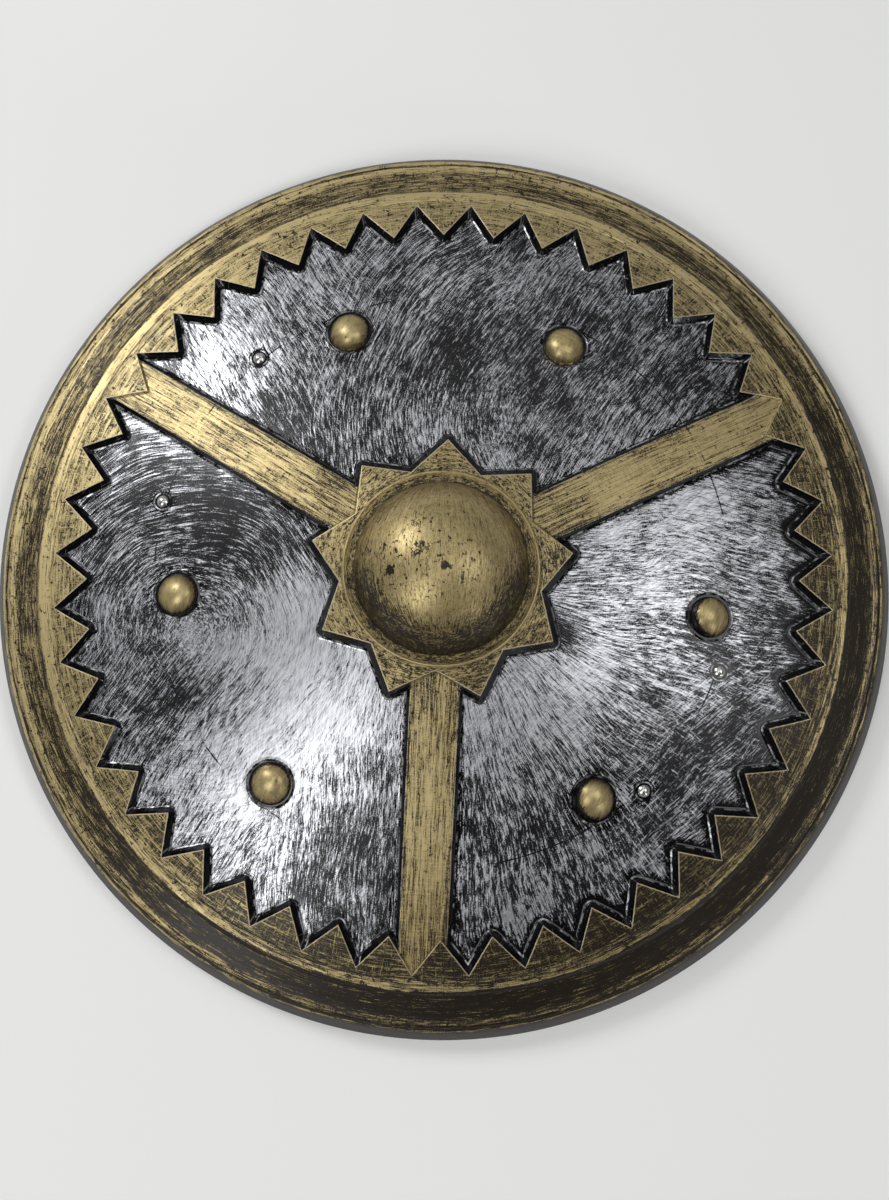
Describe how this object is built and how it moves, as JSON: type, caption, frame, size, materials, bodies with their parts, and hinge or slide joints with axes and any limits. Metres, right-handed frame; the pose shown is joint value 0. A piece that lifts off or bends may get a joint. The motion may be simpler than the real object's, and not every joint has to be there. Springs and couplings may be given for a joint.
{
  "type": "viking shield",
  "caption": "Round moulded costume shield with domed field, central boss, star, spokes, studs, zigzag rim and two riveted arm straps behind, to carry on one forearm.",
  "frame": {"origin": "centre of the rim's cut edge, in the plane the shield lies on", "axes": "+Z out of the shield's front and up as it lies; +X along the forearm from the forearm strap to the hand grip; +Y across it"},
  "size_m": [0.5, 0.5, 0.1108],
  "materials": {
    "painted_sheet": "glossy black vacuum-formed sheet, dry-brushed silver on the field and gold on the raised parts",
    "rivet_metal": "bright polished domes",
    "strap_plastic": "plain black moulded plastic strap with a fine grain"
  },
  "bodies": {
    "root": {"shield_shell": "painted_sheet", "rivet_forearm_left": "rivet_metal", "rivet_forearm_right": "rivet_metal", "rivet_grip_left": "rivet_metal", "rivet_grip_right": "rivet_metal", "forearm_strap": "strap_plastic", "hand_grip_strap": "strap_plastic"}
  },
  "joints": []
}
